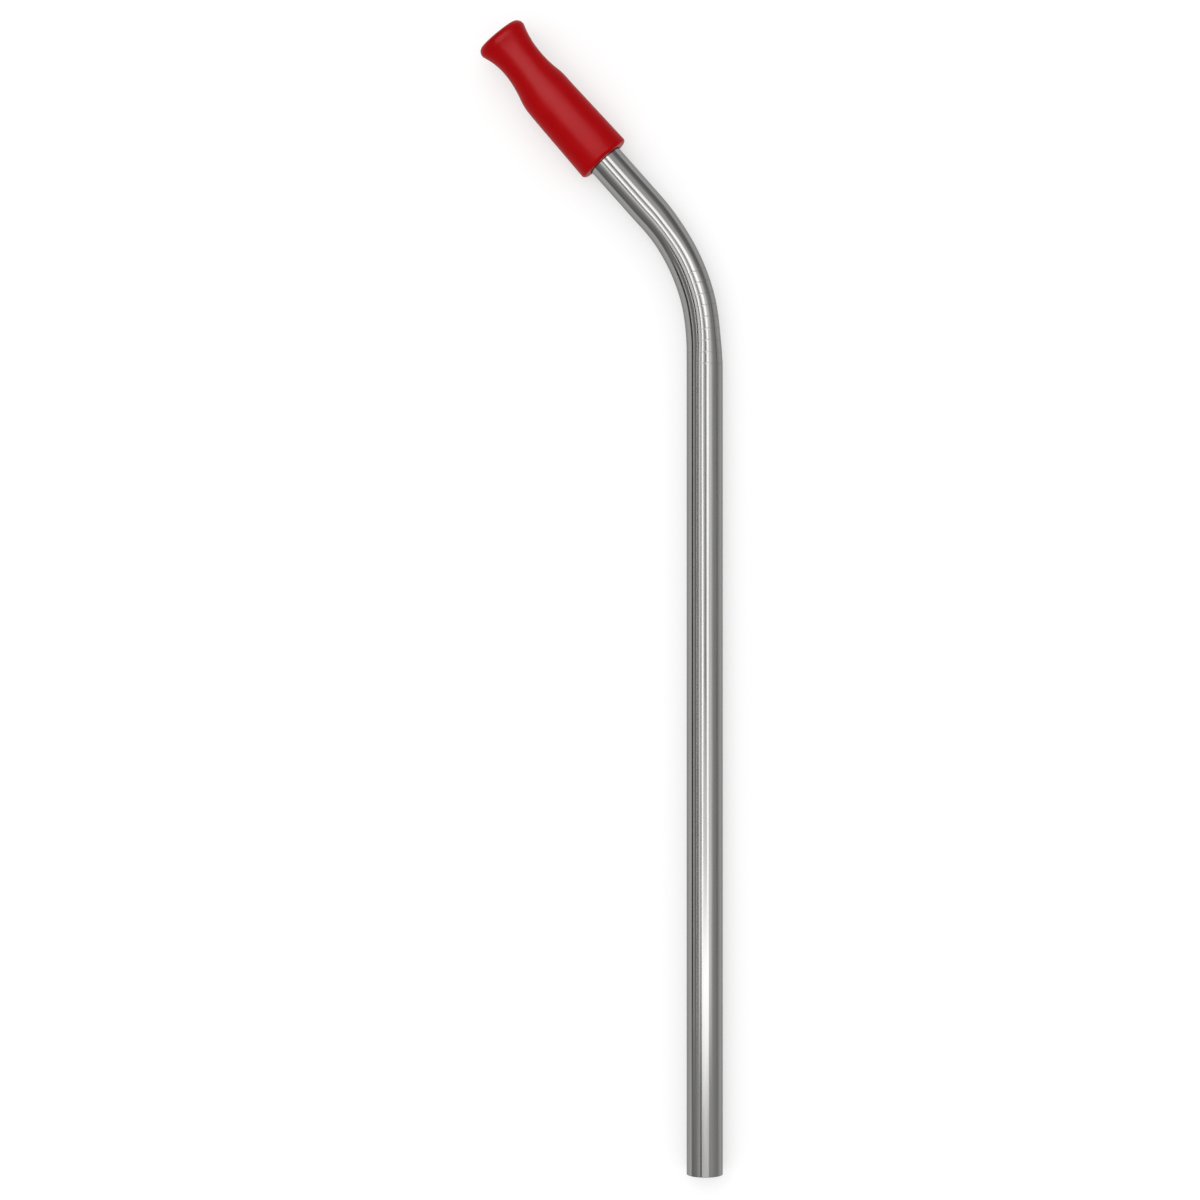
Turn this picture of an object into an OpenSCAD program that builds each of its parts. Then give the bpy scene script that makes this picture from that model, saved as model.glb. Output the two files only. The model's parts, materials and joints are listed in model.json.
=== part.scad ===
// A bent drinking straw: a thin steel tube with a soft tip pushed over its upper end.
// The straw lies on its side, as it comes to rest, on its long leg and the rim of the tip.

/* [Tube] */
// Outer diameter of the tube
tube_od = 8; // [6:0.1:12]
// Thickness of the tube's wall
tube_wall = 0.5; // [0.3:0.05:0.8]
// Straight length from the lower rim to the start of the bend
long_leg = 181.7; // [120:0.1:240]
// Radius of the bend, measured to the centre line of the tube
bend_radius = 46.5; // [25:0.5:80]
// Angle that the bend turns through
bend_angle = 41.65; // [20:0.05:60]
// Straight length left bare between the bend and the tip
bare_leg = 15.5; // [5:0.1:40]

/* [Tip, along its length] */
// Depth that the tube is pushed into the tip
seat_depth = 18.5; // [10:0.1:30]
// Height from the stop inside the tip to the shoulder outside
shoulder_rise = 2.2; // [1:0.1:6]
// Height from the shoulder to the middle of the neck
neck_rise = 7.4; // [5:0.1:12]
// Height from the middle of the neck to the mouth
mouth_rise = 8.3; // [6:0.1:14]

/* [Tip, across its width] */
// Wall of the skirt at its open end
skirt_wall = 2.15; // [1.8:0.05:3]
// Wall of the tip at the shoulder
shoulder_wall = 1.7; // [1.4:0.05:2.1]
// Wall of the tip at the neck
neck_wall = 1.7; // [1:0.05:1.75]
// Wall of the tip at the lip
lip_wall = 2.9; // [2.9:0.05:4]
// Step from the bore of the tube in to the drinking channel
channel_step = 0.6; // [0.1:0.05:1]

/* [Tip, its edges] */
// Radius round the outer edge of the skirt
skirt_round = 0.7; // [0.2:0.05:0.9]
// Radius round the outside of the lip
lip_round = 1.85; // [1:0.05:1.85]
// Radius round the inside of the mouth
mouth_round = 0.9; // [0.3:0.05:1]
// Width of the bevel that guides the tube into the tip
lead_in = 0.3; // [0.1:0.05:0.6]

/* [Fit] */
// Clearance round the tube inside the tip
socket_gap = 0.03; // [0.01:0.01:0.1]
// Clearance between the end of the tube and the stop inside the tip
stop_gap = 0.1; // [0.05:0.05:0.3]

/* [Hidden] */
$fn = 96;
arc_steps = 8;

// Radii of the tube and of what goes round it
tube_r = tube_od / 2;
bore_r = tube_r - tube_wall;
socket_r = tube_r + socket_gap;
channel_r = bore_r - channel_step;
skirt_r = socket_r + skirt_wall;
shoulder_r = socket_r + shoulder_wall;
neck_r = channel_r + neck_wall;
lip_r = channel_r + lip_wall;

// Heights above the open end of the tip
stop_h = seat_depth + stop_gap;
shoulder_h = stop_h + shoulder_rise;
neck_h = shoulder_h + neck_rise;
tip_h = neck_h + mouth_rise;

// The skirt narrows upwards, so the circle that rounds its edge touches a leaning side
skirt_lean = atan((skirt_r - shoulder_r) / shoulder_h);
edge_x = skirt_r - skirt_round * (1 + sin(skirt_lean)) / cos(skirt_lean);

// Centre of the circle that rounds the lip
lip_x = lip_r - lip_round;
lip_h = tip_h - lip_round;

// Below the neck, an arc runs up from the shoulder. Above it, a second one runs into the lip.
shoulder_out = shoulder_r - neck_r;
lower_sweep = (pow(neck_rise, 2) + pow(shoulder_out, 2)) / (2 * shoulder_out);
lower_turn = asin(neck_rise / lower_sweep);
lip_out = lip_x - neck_r;
lip_up = lip_h - neck_h;
upper_sweep = (pow(lip_out, 2) + pow(lip_up, 2) - pow(lip_round, 2)) / (2 * (lip_round + lip_out));
upper_turn = asin(lip_up / (upper_sweep + lip_round));

// Circles round the tip's axis that could touch the table or bound the straw:
// height above the tip's open end, radius, and radius of the rounding round that circle
skirt_rim = [skirt_round, edge_x, skirt_round];
shoulder_rim = [shoulder_h, shoulder_r, 0];
lip_rim = [lip_h, lip_x, lip_round];

// Distances from the axis of the long leg, and along it, of a point so far up the upper leg
function across(up) = bend_radius * (1 - cos(bend_angle)) + up * sin(bend_angle);
function along(up) = long_leg + bend_radius * sin(bend_angle) + up * cos(bend_angle);

// How far the straw rolls up about its long leg before one rim of the tip clears the table
function clearing_roll(rim) =
    let (s = across(bare_leg + rim[0]),
         drop = tube_r - rim[2],
         reach = pow(s, 2) + pow(rim[1] * sin(bend_angle), 2))
    asin((sqrt(pow(s * drop, 2) + reach * (pow(rim[1], 2) - pow(drop, 2))) - s * drop) / reach);

roll = max([for (rim = [skirt_rim, shoulder_rim, lip_rim]) clearing_roll(rim)]);

// Outer corner of the straw as it lies, at the lip. The other corner is at the lower rim.
far_x = across(bare_leg + lip_rim[0]) * cos(roll)
    + lip_rim[1] * sqrt(1 - pow(sin(bend_angle) * cos(roll), 2)) + lip_rim[2];
far_y = along(bare_leg + lip_rim[0]) + lip_rim[1] * sin(bend_angle) + lip_rim[2];

// Lays the straw down, from upright with its long leg on the Z axis, centred on the origin
module lie_down() {
    translate([(far_x - tube_r) / 2, -far_y / 2, tube_r])
        rotate([0, roll, 0])
            rotate([-90, 0, 0])
                children();
}

// Moves a shape from the origin to a point so far up the upper leg, and in line with it
module up_upper_leg(up) {
    translate([-bend_radius, 0, long_leg])
        rotate([0, -bend_angle, 0])
            translate([bend_radius, 0, up])
                children();
}

// Section across the tube
module tube_section() {
    difference() {
        circle(tube_r);
        circle(bore_r);
    }
}

// Half-round rim that closes a cut end of the tube, above the XY plane
module tube_rim() {
    rotate_extrude()
        translate([(tube_r + bore_r) / 2, 0])
            intersection() {
                circle(tube_wall / 2);
                translate([-tube_wall, 0])
                    square([2 * tube_wall, tube_wall]);
            }
}

// Bent stretch: a ring of tube, cut by the planes in which the two legs end
module bend() {
    reach = 2 * (bend_radius + tube_od);
    translate([-bend_radius, 0, long_leg])
        intersection() {
            rotate([90, 0, 0])
                rotate_extrude()
                    translate([bend_radius, 0])
                        tube_section();
            translate([0, -reach / 2, 0])
                cube(reach);
            rotate([0, -bend_angle, 0])
                translate([0, -reach / 2, -reach])
                    cube(reach);
        }
}

module steel_tube() {
    rim = tube_wall / 2;
    upper_leg = bare_leg + seat_depth;
    color([0.78, 0.78, 0.77])
        lie_down() {
            translate([0, 0, rim])
                mirror([0, 0, 1])
                    tube_rim();
            translate([0, 0, rim])
                linear_extrude(long_leg - rim)
                    tube_section();
            bend();
            up_upper_leg(0)
                linear_extrude(upper_leg - rim)
                    tube_section();
            up_upper_leg(upper_leg - rim)
                tube_rim();
        }
}

// Points along an arc after its first one, from one angle to another
function arc(centre, radius, from, to, steps) = [
    for (i = [1:steps])
        let (angle = from + (to - from) * i / steps)
        centre + radius * [cos(angle), sin(angle)]
];

// Section of the tip from its axis outwards: up the outside, round the lip and down the inside
module tip_section() {
    polygon(concat(
        [[socket_r + lead_in, 0], [edge_x, 0]],
        arc([edge_x, skirt_round], skirt_round, -90, skirt_lean, arc_steps),
        [[shoulder_r, shoulder_h]],
        arc([neck_r + lower_sweep, neck_h], lower_sweep, 180 + lower_turn, 180, arc_steps),
        arc([neck_r + upper_sweep, neck_h], upper_sweep, 180, 180 - upper_turn, arc_steps),
        arc([lip_x, lip_h], lip_round, -upper_turn, 90, 2 * arc_steps),
        [[channel_r + mouth_round, tip_h]],
        arc([channel_r + mouth_round, tip_h - mouth_round], mouth_round, 90, 180, arc_steps),
        [[channel_r, stop_h], [socket_r, stop_h], [socket_r, lead_in]]
    ));
}

module silicone_tip() {
    color([0.65, 0.05, 0.06])
        lie_down()
            up_upper_leg(bare_leg)
                rotate_extrude()
                    tip_section();
}

steel_tube();
silicone_tip();
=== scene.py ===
"""Looks of a bent drinking straw: a drawn steel tube, and the soft tip that is pushed over its upper end."""

import json
from math import asin, atan2, cos, pi, radians, sin, tan

import bpy
from bpy.props import FloatProperty, FloatVectorProperty, IntProperty, PointerProperty
from mathutils import Matrix, Vector


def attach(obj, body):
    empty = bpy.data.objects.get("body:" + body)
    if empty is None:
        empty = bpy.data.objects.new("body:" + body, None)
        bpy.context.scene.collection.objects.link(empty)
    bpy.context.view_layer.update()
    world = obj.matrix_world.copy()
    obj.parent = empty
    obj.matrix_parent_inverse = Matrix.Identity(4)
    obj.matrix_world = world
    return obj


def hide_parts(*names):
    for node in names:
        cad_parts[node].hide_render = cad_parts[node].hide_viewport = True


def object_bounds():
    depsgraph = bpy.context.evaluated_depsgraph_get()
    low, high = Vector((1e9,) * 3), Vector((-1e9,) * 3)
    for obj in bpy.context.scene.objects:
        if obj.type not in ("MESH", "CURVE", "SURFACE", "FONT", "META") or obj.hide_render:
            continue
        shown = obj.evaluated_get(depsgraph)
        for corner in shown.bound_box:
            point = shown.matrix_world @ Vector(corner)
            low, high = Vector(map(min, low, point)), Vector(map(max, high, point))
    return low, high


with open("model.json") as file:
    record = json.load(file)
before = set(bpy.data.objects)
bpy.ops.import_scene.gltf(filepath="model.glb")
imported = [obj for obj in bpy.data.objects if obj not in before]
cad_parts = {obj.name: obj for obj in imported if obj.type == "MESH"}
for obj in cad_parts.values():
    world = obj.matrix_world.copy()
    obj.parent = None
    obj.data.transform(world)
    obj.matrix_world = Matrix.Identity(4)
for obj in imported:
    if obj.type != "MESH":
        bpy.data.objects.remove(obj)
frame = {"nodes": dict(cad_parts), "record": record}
CAD_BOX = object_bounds()

bl_info = {
    "name": "Bent Steel Straw",
    "version": (1, 0, 0),
    "blender": (4, 5, 0),
    "location": "3D Viewport > Sidebar > Straw",
    "description": "Makes a bent steel drinking straw with a soft tip, and a plain stage for it",
    "category": "Object",
}

MM = 0.001


# What the frame says of the straw. Heights along the tube are measured from its lower rim.


class Mount:
    """A round mount of the frame: the line that it lies along, its radius and both of its ends, in metres."""

    def __init__(self, name):
        stated = {mount["name"]: mount for mount in frame["record"]["mounts"]}[name]
        self.radius = stated["dims"]["r_mm"] * MM
        self.axis = Vector(stated["axis"]).normalized()
        half = self.axis * stated["dims"]["length_mm"] * MM / 2
        self.start = Vector(stated["pos_m"]) - half
        self.end = Vector(stated["pos_m"]) + half


class LyingStraw:
    """Sizes and places of the straw as it lies, from the mounts and from the CAD tip."""

    def __init__(self):
        leg = Mount("long_leg_outside")
        upper = Mount("upper_leg_bore")
        mouth = Mount("mouth")
        self.tube_radius = leg.radius
        self.bore_radius = upper.radius
        self.channel_radius = mouth.radius
        rim = (self.tube_radius - self.bore_radius) / 2

        # The long leg's mount runs from the bend down to the rim
        self.leg_up = -leg.axis
        self.lower_end = leg.end - self.leg_up * rim
        self.long_leg = (leg.start - self.lower_end).length
        self.upper_up = upper.axis
        self.bend_end = upper.start
        self.upper_leg = (upper.end - upper.start).length + rim
        self.bend_angle = self.leg_up.angle(self.upper_up)
        chord = (upper.start - leg.start).length
        self.bend_radius = chord / 2 / sin(self.bend_angle / 2)

        # Square to the long leg, away from the side that the upper leg leans to
        lean = self.upper_up - self.leg_up * self.upper_up.dot(self.leg_up)
        self.outward = -lean.normalized()
        self.down = self.leg_up.cross(self.outward)

        reach = [self.up_from_bend(v.co) for v in frame["nodes"]["silicone_tip"].data.vertices]
        self.bare_leg = min(reach)
        self.tip_height = max(reach) - self.bare_leg
        self.stop_height = self.up_from_bend(mouth.start) - self.bare_leg
        self.mouth_round = max(reach) - self.up_from_bend(mouth.end)

    def up_from_bend(self, place):
        """Distance of a place from the end of the bend, along the upper leg."""
        return (Vector(place) - self.bend_end).dot(self.upper_up)

    def standing_to_lying(self):
        """Lays down a straw that stands on the origin with its long leg on Z and leans towards -X."""
        return placed(self.lower_end, self.outward, self.down, self.leg_up)

    def tip_to_lying(self):
        """Lays down a tip that stands on the origin, its open end on Z = 0."""
        along = self.upper_up
        across = self.down.cross(along)
        return placed(self.bend_end + along * self.bare_leg, across, self.down, along)


def placed(origin, x_axis, y_axis, z_axis):
    """Matrix that carries the origin and the three axes to a place and three directions."""
    turn = Matrix((x_axis, y_axis, z_axis)).transposed()
    return Matrix.Translation(origin) @ turn.to_4x4()


STRAW = LyingStraw()


# Sizes and colours that a user may change


def length(name, description, default):
    """Property for a length in metres."""
    return FloatProperty(
        name=name,
        description=description,
        default=default,
        min=0,
        precision=5,
        subtype="DISTANCE",
        unit="LENGTH",
    )


def rotation(name, description, default):
    """Property for an angle in radians."""
    return FloatProperty(
        name=name, description=description, default=default, subtype="ANGLE", unit="ROTATION"
    )


def share(name, description, default):
    """Property for a share between 0 and 1."""
    return FloatProperty(name=name, description=description, default=default, min=0, max=1, subtype="FACTOR")


def colour(name, description, default):
    """Property for a linear colour."""
    return FloatVectorProperty(
        name=name, description=description, default=default, min=0, max=1, size=3, subtype="COLOR"
    )


class TubeSettings(bpy.types.PropertyGroup):
    """Sizes and finish of the steel tube."""

    radius: length("Radius", "Outer radius of the tube", STRAW.tube_radius)
    bore: length("Bore", "Radius of the bore", STRAW.bore_radius)
    long_leg: length("Long Leg", "Straight length below the bend", STRAW.long_leg)
    upper_leg: length("Upper Leg", "Straight length from the bend to the rim in the tip", STRAW.upper_leg)
    bend_radius: length("Bend Radius", "Radius of the bend on the centre line", STRAW.bend_radius)
    bend_angle: rotation("Bend Angle", "Angle that the bend turns through", STRAW.bend_angle)
    flattening: share("Flattening", "Share of its width that the tube loses where it is bent most", 0.05)
    crowding: length("Crowding", "How far its top and bottom crowd to the outer side of the bend", 0.4 * MM)
    settling: length("Settling", "How far the tube settles inwards where the bend starts", 0.19 * MM)
    broken_edge: length("Broken Edge", "Radius round the edges of the cut ends", 0.12 * MM)
    first_mark: FloatProperty(
        name="First Mark",
        description="Place of the lowest bending mark, from the start of the bend",
        default=-2.75 * MM,
        subtype="DISTANCE",
        unit="LENGTH",
    )
    mark_spacing: length("Mark Spacing", "Distance between bending marks", 2.53 * MM)
    mark_count: IntProperty(name="Mark Count", description="Number of bending marks", default=9, min=1)
    mark_width: length("Mark Width", "Width of a bending mark", 0.25 * MM)
    mark_depth: length("Mark Depth", "Depth of a bending mark", 0.014 * MM)
    steel: colour("Steel", "Colour of the bare steel", (0.3, 0.297, 0.291))
    polish: share("Roughness", "Roughness of the drawn steel", 0.1)


class TipSettings(bpy.types.PropertyGroup):
    """Sizes and finish of the silicone tip. Heights are measured from its open end."""

    socket: length("Socket", "Radius of the socket for the tube", 4.03 * MM)
    lead_in: length("Lead-in", "Width of the bevel at the open end of the socket", 0.3 * MM)
    skirt: length("Skirt", "Outer radius at the open end", 6.18 * MM)
    skirt_round: length("Skirt Rounding", "Radius round the outer edge of the open end", 0.7 * MM)
    shoulder: length("Shoulder", "Outer radius at the shoulder", 5.73 * MM)
    shoulder_height: length("Shoulder Height", "Height of the shoulder", 20.8 * MM)
    shoulder_round: length("Shoulder Rounding", "Radius round the shoulder", 1.6 * MM)
    neck: length("Neck", "Outer radius at the middle of the neck", 4.6 * MM)
    neck_height: length("Neck Height", "Height of the middle of the neck", 28.2 * MM)
    lip: length("Lip", "Outer radius of the lip", 5.8 * MM)
    lip_round: length("Lip Rounding", "Radius round the outside of the lip", 1.65 * MM)
    sway: length("Sway", "How far the soft neck leans outwards at the lip", 0.75 * MM)
    tilt: rotation("Tilt", "Angle that the mouth turns outwards", radians(2.5))
    lift: rotation("Lift", "Angle that the mouth turns upwards", radians(4.5))
    red: colour("Red", "Colour of the silicone", (0.357, 0.0015, 0.003))
    satin: share("Roughness", "Roughness of the moulded silicone", 0.32)


class StageSettings(bpy.types.PropertyGroup):
    """Camera, floor and light."""

    lens: FloatProperty(name="Lens", description="Focal length", default=85, subtype="DISTANCE_CAMERA")
    shown: length("Shown", "Width that the picture shows at the middle of the tube", 265.2 * MM)
    left: length("Left of Leg", "How far the picture's middle is from the long leg", 23.14 * MM)
    above: length("Above Rim", "How far the picture's middle is above the lower rim", 126.9 * MM)
    floor: colour("Floor", "Colour of the floor", (0.62, 0.62, 0.62))
    floor_lift: share("Floor Lift", "Light added to the floor where it is seen", 0.42)
    sky: FloatProperty(name="Sky", description="Strength of the even light all round", default=0.9, min=0)
    lamp: FloatProperty(
        name="Soft Box",
        description="Power of the soft box overhead",
        default=1.2,
        min=0,
        subtype="POWER",
        unit="POWER",
    )


# Sections and meshes

# Points round a turned mesh
TURNED_SIDES = 128


def arc(centre, radius, start, end, steps):
    """Points of an arc after its first one, in the (radius, height) plane, angles in radians."""
    angles = [start + (end - start) * i / steps for i in range(1, steps + 1)]
    return [(centre[0] + radius * cos(a), centre[1] + radius * sin(a)) for a in angles]


def rows(start, end, step):
    """Evenly spaced heights from start up to, and not including, end."""
    count = max(1, round((end - start) / step))
    return [start + (end - start) * i / count for i in range(count)]


def eased(value, start, end):
    """Goes smoothly from 0 to 1 as the value goes from start to end."""
    t = min(1.0, max(0.0, (value - start) / (end - start)))
    return t * t * (3 - 2 * t)


def turned_mesh(name, section):
    """Closed mesh of a closed (radius, height) section turned round the Z axis, its faces outwards."""
    sides = TURNED_SIDES
    turn = [2 * pi * i / sides for i in range(sides)]
    points = [(r * cos(a), r * sin(a), h) for a in turn for r, h in section]
    size = len(section)
    faces = []
    for side in range(sides):
        here, there = side * size, (side + 1) % sides * size
        for i in range(size):
            j = (i + 1) % size
            faces.append((here + i, there + i, there + j, here + j))
    mesh = bpy.data.meshes.new(name)
    mesh.from_pydata(points, [], faces)
    mesh.shade_smooth()
    return mesh


def shown_object(name, mesh):
    """Object at the origin that carries its place in its mesh."""
    made = bpy.data.objects.new(name, mesh)
    bpy.context.scene.collection.objects.link(made)
    return made


class Sums:
    """Adds nodes to a tree, so that a rule can be written as a formula."""

    def __init__(self, tree):
        self.tree = tree

    def node(self, kind, **settings):
        """New node of a kind, with its settings."""
        made = self.tree.nodes.new(kind)
        made.location = (180 * len(self.tree.nodes), 0)
        for name, value in settings.items():
            setattr(made, name, value)
        return made

    def feed(self, socket, value):
        """Links another node's output to a socket, or sets the socket to a constant."""
        if isinstance(value, bpy.types.NodeSocket):
            self.tree.links.new(value, socket)
        else:
            socket.default_value = value

    def math(self, operation, *values):
        """Result of one sum on the values."""
        made = self.node("ShaderNodeMath", operation=operation)
        for socket, value in zip(made.inputs, values):
            self.feed(socket, value)
        return made.outputs[0]

    def ramp(self, value, start, end, low=0.0, high=1.0, smooth=True):
        """Goes from low to high as the value goes from start to end, and stays there beyond."""
        made = self.node("ShaderNodeMapRange", interpolation_type="SMOOTHSTEP" if smooth else "LINEAR")
        names = ("Value", "From Min", "From Max", "To Min", "To Max")
        for name, given in zip(names, (value, start, end, low, high)):
            self.feed(made.inputs[name], given)
        return made.outputs["Result"]

    def vector(self, x, y, z):
        """Vector of three values."""
        made = self.node("ShaderNodeCombineXYZ")
        for socket, value in zip(made.inputs, (x, y, z)):
            self.feed(socket, value)
        return made.outputs[0]


# The tube

# Distance between rows of points on the outside of the tube and in its bore: long leg, bend and upper leg
OUTSIDE_STEPS = (4 * MM, 0.4 * MM, 2 * MM)
BORE_STEPS = (6 * MM, 0.8 * MM, 4 * MM)
ROWS_IN_MARK_WIDTH = 3
EDGE_STEPS = 5

# Stretch beside each cut end that has rows of its own
END_STRETCH = 2 * MM

# Named inputs of the bend rule
BEND_INPUTS = (
    "Middle Radius",
    "Long Leg",
    "Bend Radius",
    "Bend Angle",
    "Flattening",
    "Crowding",
    "Settling",
    "First Mark",
    "Mark Spacing",
    "Mark Count",
    "Mark Width",
    "Mark Depth",
)

# Where the flattening sets in, from the start of the bend, and the stretches before and after the bend's end
# over which it is lost
FLATTENING_RISE = (-4 * MM, 5 * MM)
FLATTENING_ENDS = (7 * MM, 2 * MM)

# Where the crowding rises, from the start of the bend, and the turned angles over which it falls
CROWDING_RISE = (-4 * MM, 8 * MM)
CROWDING_FALL = (radians(24), radians(38))

# Where the settling rises and falls, from the start of the bend
SETTLING_RISE = (-4 * MM, 4 * MM)
SETTLING_FALL = (4 * MM, 13 * MM)

# Share of the flattening by which the tube grows wider across the bend
WIDENING = 0.4

# Strength of a mark on the inner and on the outer side, and where it changes, as shares of the radius
MARK_STRENGTHS = (0.35, 1.0)
MARK_CHANGE = (-0.7, 0.3)


def tube_section(tube):
    """Wall of the straight tube, with broken edges. Rows are close together where the bending marks go."""
    edge = tube.broken_edge
    bend_end = tube.long_leg + tube.bend_radius * tube.bend_angle
    top = bend_end + tube.upper_leg
    first_mark = tube.long_leg + tube.first_mark
    last_mark = first_mark + tube.mark_spacing * (tube.mark_count - 1)
    marks_start = first_mark - 2 * tube.mark_width
    marks_end = last_mark + 2 * tube.mark_width
    leg_step, bend_step, upper_step = OUTSIDE_STEPS
    outside = (
        [edge, 1.5 * edge]
        + rows(END_STRETCH, marks_start, leg_step)
        + rows(marks_start, marks_end, tube.mark_width / ROWS_IN_MARK_WIDTH)
        + rows(marks_end, bend_end, bend_step)
        + rows(bend_end, top - END_STRETCH, upper_step)
        + [top - 1.5 * edge, top - edge]
    )
    leg_step, bend_step, upper_step = BORE_STEPS
    inside = (
        [edge, 1.5 * edge]
        + rows(END_STRETCH, tube.long_leg, leg_step)
        + rows(tube.long_leg, bend_end, bend_step)
        + rows(bend_end, top - END_STRETCH, upper_step)
        + [top - 1.5 * edge, top - edge]
    )
    outer, inner = tube.radius - edge, tube.bore + edge
    return (
        [(tube.radius, h) for h in outside]
        + arc((outer, top - edge), edge, 0, pi / 2, EDGE_STEPS)
        + [(inner, top)]
        + arc((inner, top - edge), edge, pi / 2, pi, EDGE_STEPS)[:-1]
        + [(tube.bore, h) for h in reversed(inside)]
        + arc((inner, edge), edge, pi, 1.5 * pi, EDGE_STEPS)
        + [(outer, 0)]
        + arc((outer, edge), edge, 1.5 * pi, 2 * pi, EDGE_STEPS)[:-1]
    )


def bend_rule():
    """Geometry Nodes tree that bends a straight tube round a former and leaves the former's marks on it."""
    tree = bpy.data.node_groups.new("Bend rule", "GeometryNodeTree")
    tree.interface.new_socket("Geometry", in_out="INPUT", socket_type="NodeSocketGeometry")
    for name in BEND_INPUTS:
        tree.interface.new_socket(name, in_out="INPUT", socket_type="NodeSocketFloat")
    tree.interface.new_socket("Material", in_out="INPUT", socket_type="NodeSocketMaterial")
    tree.interface.new_socket("Geometry", in_out="OUTPUT", socket_type="NodeSocketGeometry")

    do = Sums(tree)
    given = do.node("NodeGroupInput").outputs
    position = do.node("GeometryNodeInputPosition").outputs[0]
    split = do.node("ShaderNodeSeparateXYZ")
    do.feed(split.inputs[0], position)
    x, y, height = split.outputs

    # Along the tube: how far it has turned, and how far past the bend it has come
    past_start = do.math("SUBTRACT", height, given["Long Leg"])
    bend_length = do.math("MULTIPLY", given["Bend Radius"], given["Bend Angle"])
    in_bend = do.math("MAXIMUM", 0.0, do.math("MINIMUM", past_start, bend_length))
    turned = do.math("DIVIDE", in_bend, given["Bend Radius"])
    past_end = do.math("MAXIMUM", do.math("SUBTRACT", past_start, bend_length), 0.0)

    # The bent stretch is a little flatter in the plane of the bend, and wider across it
    rise = do.ramp(past_start, *FLATTENING_RISE)
    fall_start = do.math("SUBTRACT", bend_length, FLATTENING_ENDS[0])
    fall_end = do.math("ADD", bend_length, FLATTENING_ENDS[1])
    fall = do.ramp(past_start, fall_start, fall_end, 1.0, 0.0)
    flat = do.math("MULTIPLY", given["Flattening"], do.math("MULTIPLY", rise, fall))

    # Its top and bottom crowd to the outer side, and its start settles a little to the inner side
    rise = do.ramp(past_start, *CROWDING_RISE)
    fall = do.ramp(turned, *CROWDING_FALL, 1.0, 0.0)
    crowd = do.math("MULTIPLY", given["Crowding"], do.math("MULTIPLY", rise, fall))
    rise = do.ramp(past_start, *SETTLING_RISE)
    fall = do.ramp(past_start, *SETTLING_FALL, 1.0, 0.0)
    settle = do.math("MULTIPLY", given["Settling"], do.math("MULTIPLY", rise, fall))

    # How strong the nearest mark is here. The bore has none, and the outer side of the bend has the strongest.
    from_first = do.math("SUBTRACT", past_start, given["First Mark"])
    number = do.math("ROUND", do.math("DIVIDE", from_first, given["Mark Spacing"]))
    last = do.math("SUBTRACT", given["Mark Count"], 1.0)
    number = do.math("MAXIMUM", 0.0, do.math("MINIMUM", number, last))
    nearest = do.math("MULTIPLY", number, given["Mark Spacing"])
    off = do.math("ABSOLUTE", do.math("SUBTRACT", from_first, nearest))
    mark = do.ramp(off, 0.0, given["Mark Width"], 1.0, 0.0)
    radius = do.math("SQRT", do.math("ADD", do.math("MULTIPLY", x, x), do.math("MULTIPLY", y, y)))
    outside = do.math("GREATER_THAN", radius, given["Middle Radius"])
    outer_side = do.ramp(do.math("DIVIDE", x, radius), *MARK_CHANGE, *MARK_STRENGTHS)
    mark = do.math("MULTIPLY", mark, do.math("MULTIPLY", outside, outer_side))
    dent = do.math("DIVIDE", do.math("MULTIPLY", mark, given["Mark Depth"]), radius)
    narrower = do.math("SUBTRACT", 1.0, dent)

    # Across the tube, then round the bend
    slant = do.math("DIVIDE", y, radius)
    x = do.math("MULTIPLY", do.math("MULTIPLY", x, narrower), do.math("SUBTRACT", 1.0, flat))
    x = do.math("ADD", x, do.math("MULTIPLY", crowd, do.math("MULTIPLY", slant, slant)))
    x = do.math("SUBTRACT", x, settle)
    wider = do.math("ADD", 1.0, do.math("MULTIPLY", flat, WIDENING))
    y = do.math("MULTIPLY", do.math("MULTIPLY", y, narrower), wider)
    cosine = do.math("COSINE", turned)
    sine = do.math("SINE", turned)
    arm = do.math("ADD", x, given["Bend Radius"])
    new_x = do.math("SUBTRACT", do.math("MULTIPLY", arm, cosine), given["Bend Radius"])
    new_x = do.math("SUBTRACT", new_x, do.math("MULTIPLY", past_end, sine))
    new_z = do.math("ADD", do.math("MINIMUM", height, given["Long Leg"]), do.math("MULTIPLY", arm, sine))
    new_z = do.math("ADD", new_z, do.math("MULTIPLY", past_end, cosine))

    # The straight tube's places and the marks stay with the points, for the finish
    geometry = given["Geometry"]
    for name, kind, value in (("drawn", "FLOAT_VECTOR", position), ("bend_mark", "FLOAT", mark)):
        store = do.node("GeometryNodeStoreNamedAttribute", data_type=kind, domain="POINT")
        do.feed(store.inputs["Geometry"], geometry)
        do.feed(store.inputs["Name"], name)
        do.feed(store.inputs["Value"], value)
        geometry = store.outputs["Geometry"]
    move = do.node("GeometryNodeSetPosition")
    do.feed(move.inputs["Geometry"], geometry)
    do.feed(move.inputs["Position"], do.vector(new_x, y, new_z))
    real = do.node("GeometryNodeRealizeInstances")
    do.feed(real.inputs["Geometry"], move.outputs["Geometry"])
    coat = do.node("GeometryNodeSetMaterial")
    do.feed(coat.inputs["Geometry"], real.outputs["Geometry"])
    do.feed(coat.inputs["Material"], given["Material"])
    out = do.node("NodeGroupOutput")
    do.feed(out.inputs["Geometry"], coat.outputs["Geometry"])
    return tree


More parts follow.
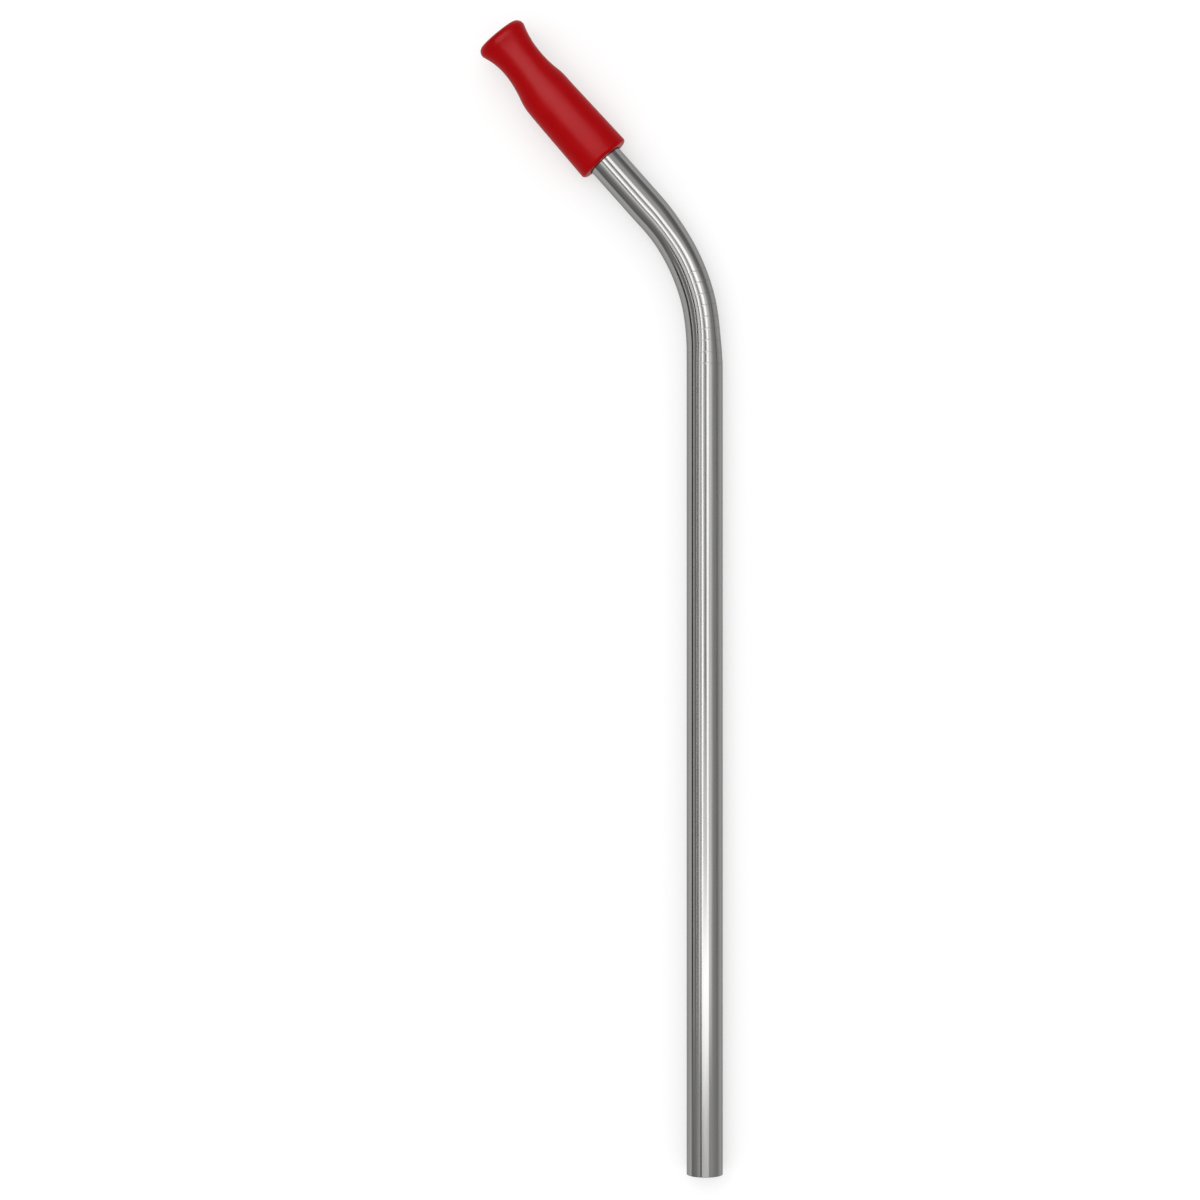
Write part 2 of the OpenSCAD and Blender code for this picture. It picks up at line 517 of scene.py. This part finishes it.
def ruled_mesh(base, tree, values):
    """Plain mesh that a tree makes of a base mesh, with the tree's named inputs set."""
    worker = shown_object("worker", base)
    modifier = worker.modifiers.new("Rule", "NODES")
    modifier.node_group = tree
    for item in tree.interface.items_tree:
        if item.item_type == "SOCKET" and item.in_out == "INPUT" and item.name in values:
            modifier[item.identifier] = values[item.name]
    graph = bpy.context.evaluated_depsgraph_get()
    mesh = bpy.data.meshes.new_from_object(
        worker.evaluated_get(graph), preserve_all_data_layers=True, depsgraph=graph
    )
    bpy.data.objects.remove(worker)
    return mesh


# The tip

# Lowest row of points on the skirt's side, the row above it, and the distance between the rows from there
SKIRT_ROWS = (0.9 * MM, 2 * MM, 1 * MM)

# Points of the arcs: small roundings, sweep below the neck, sweep above it and lip, and shoulder
ROUNDING_STEPS, LOWER_STEPS, UPPER_STEPS, SHOULDER_STEPS = 12, 24, 20, 8

# Faces that meet at more than this angle show a sharp edge
SHARP_ANGLE = radians(40)

# How far below the shoulder the soft neck starts to lean, and how far below the mouth it stops
LEANING_MARGIN = 4 * MM


def tip_section(tip):
    """Section of the tip: up the outside, round the lip, down the channel and the socket."""
    height = STRAW.tip_height
    channel, stop, inner = STRAW.channel_radius, STRAW.stop_height, STRAW.mouth_round

    # The skirt leans in, and a circle rounds its open edge
    lean = atan2(tip.skirt - tip.shoulder, tip.shoulder_height)
    edge = tip.skirt - tip.skirt_round * (1 + sin(lean)) / cos(lean)

    # Two arcs meet at the neck: one up from the shoulder, one on into the lip
    out = tip.shoulder - tip.neck
    rise = tip.neck_height - tip.shoulder_height
    lower = (rise**2 + out**2) / (2 * out)
    lower_turn = asin(rise / lower)
    lip_x, lip_y = tip.lip - tip.lip_round, height - tip.lip_round
    out, rise = lip_x - tip.neck, lip_y - tip.neck_height
    upper = (out**2 + rise**2 - tip.lip_round**2) / (2 * (tip.lip_round + out))
    upper_turn = asin(rise / (upper + tip.lip_round))

    lowest, next_row, step = SKIRT_ROWS
    heights = [lowest] + rows(next_row, tip.shoulder_height - tip.shoulder_round, step)
    skirt_side = [(tip.skirt - h * (tip.skirt - tip.shoulder) / tip.shoulder_height, h) for h in heights]
    sweep = arc((tip.neck + lower, tip.neck_height), lower, pi + lower_turn, pi, LOWER_STEPS)
    corner = rounded_corner(skirt_side[-1], (tip.shoulder, tip.shoulder_height), sweep, tip.shoulder_round)
    return (
        [(tip.socket + tip.lead_in, 0), (edge, 0)]
        + arc((edge, tip.skirt_round), tip.skirt_round, -pi / 2, lean, ROUNDING_STEPS)
        + skirt_side
        + corner
        + arc((tip.neck + upper, tip.neck_height), upper, pi, pi - upper_turn, UPPER_STEPS)
        + arc((lip_x, lip_y), tip.lip_round, -upper_turn, pi / 2, UPPER_STEPS)
        + [(channel + inner, height)]
        + arc((channel + inner, height - inner), inner, pi / 2, pi, ROUNDING_STEPS)
        + [(channel, stop), (tip.socket, stop), (tip.socket, tip.lead_in)]
    )


def leaning(tip, x, y, height):
    """Place of a point of the straight tip on the soft one: its neck leans out and its mouth turns up."""
    swayed = eased(height, tip.shoulder_height - LEANING_MARGIN, STRAW.tip_height - LEANING_MARGIN)
    return x + tip.sway * swayed, y, height + swayed * (y * tan(tip.lift) - x * tan(tip.tilt))


def rounded_corner(before, corner, sweep, reach):
    """Softens the corner where the skirt's side meets the sweep of the neck, and goes on along the sweep."""
    corner = Vector(corner)
    start = corner + (Vector(before) - corner).normalized() * reach
    rest = [Vector(p) for p in sweep if (Vector(p) - corner).length > reach]
    curve = []
    for i in range(SHOULDER_STEPS + 1):
        t = i / SHOULDER_STEPS
        curve.append(start * (1 - t) ** 2 + corner * 2 * t * (1 - t) + rest[0] * t**2)
    return [tuple(p) for p in curve + rest[1:]]


# Finishes

# Sockets of a Mix node that mixes colours
MIX_FACTOR, MIX_A, MIX_B, MIX_RESULT = 0, 6, 7, 2

# Drawn steel: scales of its fine and broad grain, and their stretch along the tube. Then the ramp from the
# sum of the two to the blend of its colours, and those colours as shares of the steel's. Then its roughness,
# as shares of the polish over a span of the fine grain, its tint at grazing angles, and its bump.
STEEL_GRAIN = (4000.0, 900.0)
STEEL_STRETCH = (1.0, 1.0, 0.02)
STEEL_LINES = (0.75, 1.25, 0.6, 1.0)
STEEL_DARK, STEEL_LIGHT = 0.75, 1.05
STEEL_FINE_SPAN = (0.3, 0.7)
STEEL_SMOOTH, STEEL_ROUGH = 0.85, 1.2
STEEL_EDGE_TINT = (0.55, 0.55, 0.55, 1)
STEEL_BUMP = (0.05, 0.02 * MM)

# How much a bending mark darkens the steel, and how much rougher it is
MARK_DARKENS, MARK_ROUGHENS = 0.35, 0.22

# Moulded silicone: its grain, tones, colours, gloss and bump, and how far its roughness goes either way
SILICONE_GRAIN = (2500.0, 180.0)
SILICONE_TONES = (0.7, 1.3)
SILICONE_DARK, SILICONE_LIGHT = 0.95, 1.05
SILICONE_SPECULAR = 0.03
SILICONE_BUMP = (0.1, 0.03 * MM)
SATIN_SPREAD = 0.04


def grain_group():
    """Fine and broad unevenness of a worked surface, as values round a middle of 0.5."""
    tree = bpy.data.node_groups.new("Worked surface", "ShaderNodeTree")
    tree.interface.new_socket("Vector", in_out="INPUT", socket_type="NodeSocketVector")
    tree.interface.new_socket("Fine Scale", in_out="INPUT", socket_type="NodeSocketFloat")
    tree.interface.new_socket("Broad Scale", in_out="INPUT", socket_type="NodeSocketFloat")
    for name in ("Fine", "Broad"):
        tree.interface.new_socket(name, in_out="OUTPUT", socket_type="NodeSocketFloat")
    do = Sums(tree)
    given = do.node("NodeGroupInput").outputs
    out = do.node("NodeGroupOutput")
    for name, detail in (("Fine", 4.0), ("Broad", 2.0)):
        noise = do.node("ShaderNodeTexNoise")
        do.feed(noise.inputs["Vector"], given["Vector"])
        do.feed(noise.inputs["Scale"], given[name + " Scale"])
        noise.inputs["Detail"].default_value = detail
        do.feed(out.inputs[name], noise.outputs["Fac"])
    return tree


def finish_tree(name):
    """New material, its node helper, its Principled shader and the worked surface group placed in it."""
    material = bpy.data.materials.new(name)
    material.use_nodes = True
    do = Sums(material.node_tree)
    shader = material.node_tree.nodes["Principled BSDF"]
    group = bpy.data.node_groups.get("Worked surface") or grain_group()
    grain = do.node("ShaderNodeGroup", node_tree=group)
    return material, do, shader, grain


def blend_colours(do, factor, dark, light):
    """Colour between two constants, by a factor that changes over the surface."""
    mix = do.node("ShaderNodeMix", data_type="RGBA")
    do.feed(mix.inputs[MIX_FACTOR], factor)
    mix.inputs[MIX_A].default_value = (*dark, 1)
    mix.inputs[MIX_B].default_value = (*light, 1)
    return mix.outputs[MIX_RESULT]


def add_bump(do, shader, height, strength, distance):
    """Gives a shader a bump from a height that changes over the surface."""
    bump = do.node("ShaderNodeBump")
    bump.inputs["Strength"].default_value = strength
    bump.inputs["Distance"].default_value = distance
    do.feed(bump.inputs["Height"], height)
    do.feed(shader.inputs["Normal"], bump.outputs["Normal"])


def drawn_steel(tube):
    """Bright drawn steel: faint lines along the tube, round the bend too, and duller bending marks."""
    material, do, shader, grain = finish_tree("Drawn steel")
    drawn = do.node("ShaderNodeAttribute", attribute_name="drawn")
    stretch = do.node("ShaderNodeMapping")
    stretch.inputs["Scale"].default_value = STEEL_STRETCH
    do.feed(stretch.inputs["Vector"], drawn.outputs["Vector"])
    do.feed(grain.inputs["Vector"], stretch.outputs["Vector"])
    grain.inputs["Fine Scale"].default_value, grain.inputs["Broad Scale"].default_value = STEEL_GRAIN
    fine, broad = grain.outputs["Fine"], grain.outputs["Broad"]
    mark = do.node("ShaderNodeAttribute", attribute_name="bend_mark").outputs["Fac"]

    lines = do.ramp(do.math("ADD", fine, broad), *STEEL_LINES, smooth=False)
    darkened = do.math("SUBTRACT", lines, do.math("MULTIPLY", mark, MARK_DARKENS))
    dark = [STEEL_DARK * part for part in tube.steel]
    light = [STEEL_LIGHT * part for part in tube.steel]
    do.feed(shader.inputs["Base Color"], blend_colours(do, darkened, dark, light))
    rough = do.ramp(fine, *STEEL_FINE_SPAN, STEEL_SMOOTH * tube.polish, STEEL_ROUGH * tube.polish)
    do.feed(shader.inputs["Roughness"], do.math("ADD", rough, do.math("MULTIPLY", mark, MARK_ROUGHENS)))
    shader.inputs["Metallic"].default_value = 1.0
    shader.inputs["Specular Tint"].default_value = STEEL_EDGE_TINT
    add_bump(do, shader, fine, *STEEL_BUMP)
    return material


def moulded_silicone(tip):
    """Satin red silicone with the faint unevenness of its mould."""
    material, do, shader, grain = finish_tree("Moulded silicone")
    where = do.node("ShaderNodeTexCoord")
    do.feed(grain.inputs["Vector"], where.outputs["Object"])
    grain.inputs["Fine Scale"].default_value, grain.inputs["Broad Scale"].default_value = SILICONE_GRAIN
    fine, broad = grain.outputs["Fine"], grain.outputs["Broad"]
    tone = do.ramp(do.math("ADD", fine, broad), *SILICONE_TONES, smooth=False)
    dark = [SILICONE_DARK * part for part in tip.red]
    light = [SILICONE_LIGHT * part for part in tip.red]
    do.feed(shader.inputs["Base Color"], blend_colours(do, tone, dark, light))
    rough = do.ramp(tone, 0.0, 1.0, tip.satin - SATIN_SPREAD, tip.satin + SATIN_SPREAD)
    do.feed(shader.inputs["Roughness"], rough)
    shader.inputs["Specular IOR Level"].default_value = SILICONE_SPECULAR
    add_bump(do, shader, fine, *SILICONE_BUMP)
    return material


# The stage


def showing_rays(do):
    """1 for a ray that shows the stage: from the camera, off a gloss or through glass."""
    path = do.node("ShaderNodeLightPath").outputs
    seen = do.math("MAXIMUM", path["Is Camera Ray"], path["Is Glossy Ray"])
    return do.math("MAXIMUM", seen, path["Is Transmission Ray"])


def floor_material(stage):
    """Pale matt floor, lifted to white where it is seen, with the straw's shadow left on it."""
    material = bpy.data.materials.new("Pale floor")
    material.use_nodes = True
    material.node_tree.nodes.clear()
    do = Sums(material.node_tree)
    matt = do.node("ShaderNodeBsdfDiffuse")
    matt.inputs["Color"].default_value = (*stage.floor, 1)
    lift = do.node("ShaderNodeEmission")
    do.feed(lift.inputs["Strength"], do.math("MULTIPLY", showing_rays(do), stage.floor_lift))
    both = do.node("ShaderNodeAddShader")
    do.feed(both.inputs[0], matt.outputs[0])
    do.feed(both.inputs[1], lift.outputs[0])
    do.feed(do.node("ShaderNodeOutputMaterial").inputs["Surface"], both.outputs[0])
    return material


def glow_material(name, colour, sheer):
    """Light of a cloth, as bright as each point of it says. What is behind a sheer cloth shows through it."""
    material = bpy.data.materials.new(name)
    material.use_nodes = True
    material.node_tree.nodes.clear()
    do = Sums(material.node_tree)
    glow = do.node("ShaderNodeAttribute", attribute_name="glow")
    light = do.node("ShaderNodeEmission")
    light.inputs["Color"].default_value = (*colour, 1)
    do.feed(light.inputs["Strength"], glow.outputs["Fac"])
    both = do.node("ShaderNodeAddShader")
    do.feed(both.inputs[0], light.outputs[0])
    if sheer:
        do.feed(both.inputs[1], do.node("ShaderNodeBsdfTransparent").outputs[0])
    do.feed(do.node("ShaderNodeOutputMaterial").inputs["Surface"], both.outputs[0])
    return material


# Edges of the tent's panels that wander as they go up the tent. Each has places along the tent, in metres
# from the picture's middle, and its angle at each, in degrees from the camera as the long leg sees them.
WANDERING = {
    "left lamp": ((0.03, -11), (0.05, -13)),
    "slit, left": ((-0.08, -3.5), (-0.03, -4.4), (0.03, -3.5), (0.12, -3.5), (0.14, -7), (0.16, -8.5)),
    "slit, right": ((-0.08, 5.5), (-0.03, 6.2), (0.03, 5.5), (0.12, 5.5), (0.14, 1.5), (0.16, -0.5)),
    "right lamp, left": ((0.13, 12.5), (0.17, 9.5), (0.19, 7), (0.23, 1)),
    "right lamp, right": ((0.13, 22.5), (0.17, 26), (0.27, 26), (0.33, 22), (0.38, 14), (0.42, 13)),
}

# Cloth panels of the light tent that arches over the straw, from its left side to its right: the edge at
# which each starts, as an angle or a wandering edge, its brightness, and its brightness over the lower end
TENT_PANELS = (
    (-96, 0.85, 0.7),
    (-93, 0.1, 0.4),  # dark seam
    (-80, 1.0, 0.42),
    (-71, 0.4, 0.5),  # grey cloth
    (-54, 1.9, 0.65),
    (-50.3, 0.12, 0.72),  # seam
    (-42.3, 1.55, 0.8),
    (-35.5, 1.85, 0.8),
    (-29.5, 0.72, 0.2),
    (-21.5, 3.3, 0.8),  # left strip lamp
    ("left lamp", 1.6, 0.8),
    ("slit, left", 0.55, 0.8),  # slit that the camera looks through
    ("slit, right", 1.5, 0.8),
    ("right lamp, left", 3.3, 0.6),  # right strip lamp
    ("right lamp, right", 1.6, 0.75),
    (41, 1.1, 0.75),
    (48, 0.8, 0.65),
    (56, 0.6, 0.58),  # grey cloth
    (65, 0.56, 0.55),
    (80, 0.22, 0.4),
)
TENT_ENDS_AT = 92
TENT_RADIUS = 0.8

# Angle left open between two panels
PANEL_GAP = 0.2

# The left part of the cloth ends at the first angle, and the right part starts at the second
LEFT_PART_END, RIGHT_PART_START = -41, 13

# Places of the stations up the tent where no panel is faded and both parts are fully bright
PLAIN_STATIONS = (-0.185, -0.08, -0.03, 0.03, 0.05, 0.12, 0.13, 0.14, 0.16, 0.17, 0.19, 0.23, 0.27, 0.33)

# All stations: place, how far the panels are faded, and the brightness of the left and of the right part
TENT_STATIONS = (
    (-1.3, 1, 0.78, 1),
    (-0.42, 1, 0.78, 1),
    (-0.31, 1, 0.85, 1),
    (-0.29, 1, 1, 1),
    (-0.25, 1, 1, 1),
    *((place, 0, 1, 1) for place in PLAIN_STATIONS),
    (0.38, 0, 1, 0.8),
    (0.42, 0, 1, 0.72),
    (0.5, 0, 1, 0.6),
    (0.75, 0, 1, 0.54),
    (1.3, 0, 1, 0.54),
)

# Lit panel in the roof over the lower end: place along the tent, angles that it spans, and brightness
ROOF_PANEL = (
    (-0.40, -19, 25, 1.3),
    (-0.28, -19, 25, 1.3),
    (-0.245, -19, 25, 1.6),
    (-0.215, -19, 25, 2.9),
    (-0.175, -19, 25, 3.6),
    (-0.135, -10, 11, 2.0),
    (-0.087, -5, 6, 1.4),
    (-0.045, -2.5, 3.5, 0.9),
)
ROOF_RADIUS = 0.97 * TENT_RADIUS

# Grey cloth on the ground at the right of the long leg: distance from the leg and brightness, then the places
# along the leg where it ends, and its height
GROUND_CLOTH = ((0.4, 0.36), (0.065, 0.5), (0.03, 0.68), (0.02, 0.8), (0.013, 0.88))
GROUND_REACH = (-0.5, 0.8)
GROUND_HEIGHT = 0.3 * MM

# Small canopy close over the tip: angles that it spans round the tip's axis, its distance, its ends as places
# along the axis from the tip's middle, its brightness and its cool colour
CANOPY_ANGLES, CANOPY_RADIUS, CANOPY_ENDS = (-33, 38), 0.06, (-0.012, 0.065)
CANOPY_GLOW, CANOPY_COLOUR = 15.5, (0.6, 0.96, 1.0)
CANOPY_STEPS = 8

# Floor: half its side, and how far it is below the straw
FLOOR_HALF, FLOOR_DROP = 4.0, 0.02 * MM

# Soft box overhead: its sides and its place
SOFT_BOX_SIZE, SOFT_BOX_PLACE = (0.6, 0.8), (-0.12, 0.1, 0.8)

# Nearest and farthest distance that the camera shows
CAMERA_CLIP = (0.01, 100)


def glowing_cloth(name, points, faces, glow, shown_on, colour=(1, 1, 1), sheer=False):
    """Cloth that only the gloss of one piece shows. It throws no light or shadow on the rest."""
    mesh = bpy.data.meshes.new(name)
    mesh.from_pydata(points, [], faces)
    mesh.attributes.new("glow", "FLOAT", "POINT").data.foreach_set("value", glow)
    mesh.materials.append(glow_material(name + "_cloth", colour, sheer))
    cloth = shown_object(name, mesh)
    cloth.visible_camera = cloth.visible_diffuse = cloth.visible_shadow = cloth.visible_transmission = False
    receivers = bpy.data.collections.new(name + "_is_seen_by")
    receivers.objects.link(shown_on)
    cloth.light_linking.receiver_collection = receivers
    return cloth


def over(centre, along, across, angle, radius):
    """Place on an arch over a centre, by its angle from the camera."""
    turn = radians(angle)
    return centre + along + radius * (across * sin(turn) - STRAW.down * cos(turn))


def edge_angle(edge, along):
    """Angle of a panel's edge at a place along the tent."""
    if edge not in WANDERING:
        return edge
    places = WANDERING[edge]
    if along <= places[0][0]:
        return places[0][1]
    for (start, here), (end, there) in zip(places, places[1:]):
        if along <= end:
            return here + (there - here) * (along - start) / (end - start)
    return places[-1][1]


def part_glow(angle, left, right):
    """Brightness of the left, the middle or the right part of the cloth, by an angle in it."""
    if angle < LEFT_PART_END:
        return left
    return right if angle > RIGHT_PART_START else 1


def quads(count, across):
    """Faces of a grid of points with so many rows, each so many points across."""
    faces = []
    for row in range(count - 1):
        for here in range(row * across, (row + 1) * across - 1):
            faces.append((here, here + 1, here + across + 1, here + across))
    return faces


def put_tent(stage):
    """Light tent that the steel mirrors, with its roof panel and the cloth on the ground."""
    tube = bpy.data.objects["bent_tube"]
    centre = STRAW.lower_end + STRAW.leg_up * stage.above
    starts = [start for start, *_ in TENT_PANELS]
    points, glow = [], []
    for y, faded, left, right in TENT_STATIONS:
        for (start, bright, dim), end in zip(TENT_PANELS, starts[1:] + [TENT_ENDS_AT]):
            lit = bright + (dim - bright) * faded
            for angle in (edge_angle(start, y) + PANEL_GAP, edge_angle(end, y)):
                points.append(over(centre, y * STRAW.leg_up, STRAW.outward, angle, TENT_RADIUS))
                glow.append(lit * part_glow(angle, left, right))
    glowing_cloth("light_tent", points, quads(len(TENT_STATIONS), 2 * len(TENT_PANELS)), glow, tube)

    points = [
        over(centre, y * STRAW.leg_up, STRAW.outward, angle, ROOF_RADIUS)
        for y, *span, _ in ROOF_PANEL
        for angle in span
    ]
    glow = [g for *_, g in ROOF_PANEL for _ in range(2)]
    glowing_cloth("roof_panel", points, quads(len(ROOF_PANEL), 2), glow, tube)

    right = Vector((STRAW.outward.x, STRAW.outward.y, 0)).normalized()
    ground = centre.xy.to_3d() + Vector((0, 0, CAD_BOX[0].z + GROUND_HEIGHT))
    points = [ground + y * STRAW.leg_up + right * away for y in GROUND_REACH for away, _ in GROUND_CLOTH]
    glow = [g for _ in GROUND_REACH for _, g in GROUND_CLOTH]
    glowing_cloth("ground_cloth", points, quads(2, len(GROUND_CLOTH)), glow, tube)


def put_canopy():
    """Lit canopy that gives the satin tip its soft broad highlight."""
    up = STRAW.upper_up
    across = STRAW.down.cross(up)
    centre = STRAW.bend_end + up * (STRAW.bare_leg + STRAW.tip_height / 2)
    start, end = CANOPY_ANGLES
    angles = [start + (end - start) * i / CANOPY_STEPS for i in range(CANOPY_STEPS + 1)]
    points = [over(centre, y * up, across, a, CANOPY_RADIUS) for y in CANOPY_ENDS for a in angles]
    glow = [CANOPY_GLOW] * len(points)
    tip = bpy.data.objects["moulded_tip"]
    glowing_cloth("tip_canopy", points, quads(2, len(angles)), glow, tip, CANOPY_COLOUR, sheer=True)


def put_floor(stage):
    """Wide floor that the straw lies on."""
    half, under = FLOOR_HALF, CAD_BOX[0].z - FLOOR_DROP
    corners = [(-half, -half, under), (half, -half, under), (half, half, under), (-half, half, under)]
    mesh = bpy.data.meshes.new("floor")
    mesh.from_pydata(corners, [], [(0, 1, 2, 3)])
    mesh.materials.append(floor_material(stage))
    shown_object("floor", mesh)


def put_lights(stage):
    """Even light from all round, and a broad soft box overhead."""
    world = bpy.data.worlds.new("Studio")
    bpy.context.scene.world = world
    world.use_nodes = True
    do = Sums(world.node_tree)
    background = world.node_tree.nodes["Background"]
    background.inputs["Color"].default_value = (1, 1, 1, 1)
    do.feed(background.inputs["Strength"], do.ramp(showing_rays(do), 0.0, 1.0, stage.sky, 1.0, smooth=False))

    lamp = bpy.data.lights.new("soft_box", "AREA")
    lamp.shape = "RECTANGLE"
    lamp.size, lamp.size_y = SOFT_BOX_SIZE
    lamp.energy = stage.lamp
    box = bpy.data.objects.new("soft_box", lamp)
    bpy.context.scene.collection.objects.link(box)
    box.location = SOFT_BOX_PLACE
    box.rotation_euler = (-box.location).to_track_quat("-Z", "Y").to_euler()
    box.visible_camera = box.visible_glossy = False


def put_camera(stage):
    """Camera that looks down square to the plane of the bend, with the long leg upright in the picture."""
    data = bpy.data.cameras.new("camera")
    data.lens = stage.lens
    distance = stage.shown * data.lens / data.sensor_width
    target = STRAW.lower_end + STRAW.leg_up * stage.above - STRAW.outward * stage.left
    camera = bpy.data.objects.new("camera", data)
    bpy.context.scene.collection.objects.link(camera)
    camera.matrix_world = placed(target - STRAW.down * distance, STRAW.outward, STRAW.leg_up, -STRAW.down)
    data.clip_start, data.clip_end = CAMERA_CLIP
    bpy.context.scene.camera = camera


# Operators and panel


class STRAW_OT_make_tube(bpy.types.Operator):
    """Make the bent steel tube in place of the CAD tube"""

    bl_idname = "straw.make_tube"
    bl_label = "Make Tube"

    def execute(self, context):
        tube = context.scene.straw_tube
        straight = turned_mesh("straight_tube", tube_section(tube))
        mesh = ruled_mesh(straight, bend_rule(), {
            "Middle Radius": (tube.radius + tube.bore) / 2,
            "Long Leg": tube.long_leg,
            "Bend Radius": tube.bend_radius,
            "Bend Angle": tube.bend_angle,
            "Flattening": tube.flattening,
            "Crowding": tube.crowding,
            "Settling": tube.settling,
            "First Mark": tube.first_mark,
            "Mark Spacing": tube.mark_spacing,
            "Mark Count": float(tube.mark_count),
            "Mark Width": tube.mark_width,
            "Mark Depth": tube.mark_depth,
            "Material": drawn_steel(tube),
        })
        if not mesh.polygons:
            raise RuntimeError("the bend rule made no tube")
        mesh.transform(STRAW.standing_to_lying())
        made = shown_object("bent_tube", mesh)
        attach(made, "tube")
        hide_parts("steel_tube")
        return {"FINISHED"}


class STRAW_OT_make_tip(bpy.types.Operator):
    """Make the silicone tip in place of the CAD tip"""

    bl_idname = "straw.make_tip"
    bl_label = "Make Tip"

    def execute(self, context):
        tip = context.scene.straw_tip
        mesh = turned_mesh("moulded_tip", tip_section(tip))
        for point in mesh.vertices:
            point.co = leaning(tip, *point.co)
        mesh.set_sharp_from_angle(angle=SHARP_ANGLE)
        mesh.materials.append(moulded_silicone(tip))
        mesh.transform(STRAW.tip_to_lying())
        made = shown_object("moulded_tip", mesh)
        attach(made, "tip")
        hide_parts("silicone_tip")
        return {"FINISHED"}


class STRAW_OT_set_stage(bpy.types.Operator):
    """Set the floor, the light and the camera round the straw"""

    bl_idname = "straw.set_stage"
    bl_label = "Set Stage"

    def execute(self, context):
        stage = context.scene.straw_stage
        put_floor(stage)
        put_lights(stage)
        put_tent(stage)
        put_canopy()
        put_camera(stage)
        context.scene.view_settings.view_transform = "Standard"
        return {"FINISHED"}


class STRAW_PT_sidebar(bpy.types.Panel):
    """Lists the straw's pieces and their settings"""

    bl_label = "Straw"
    bl_space_type = "VIEW_3D"
    bl_region_type = "UI"
    bl_category = "Straw"

    def draw(self, context):
        for group, operator in (
            (context.scene.straw_tube, "straw.make_tube"),
            (context.scene.straw_tip, "straw.make_tip"),
            (context.scene.straw_stage, "straw.set_stage"),
        ):
            box = self.layout.box()
            for name in group.bl_rna.properties.keys():
                if name not in {"rna_type", "name"}:
                    box.prop(group, name)
            box.operator(operator)


SETTINGS = (("straw_tube", TubeSettings), ("straw_tip", TipSettings), ("straw_stage", StageSettings))
OTHERS = (STRAW_OT_make_tube, STRAW_OT_make_tip, STRAW_OT_set_stage, STRAW_PT_sidebar)


def register():
    """Adds the settings, the operators and the panel to Blender."""
    for name, group in SETTINGS:
        bpy.utils.register_class(group)
        setattr(bpy.types.Scene, name, PointerProperty(type=group))
    for other in OTHERS:
        bpy.utils.register_class(other)


def unregister():
    """Takes them away again."""
    for other in reversed(OTHERS):
        bpy.utils.unregister_class(other)
    for name, group in reversed(SETTINGS):
        delattr(bpy.types.Scene, name)
        bpy.utils.unregister_class(group)


def main():
    """Makes the straw and its stage."""
    register()
    bpy.ops.straw.make_tube()
    bpy.ops.straw.make_tip()
    bpy.ops.straw.set_stage()


if __name__ == "__main__":
    main()
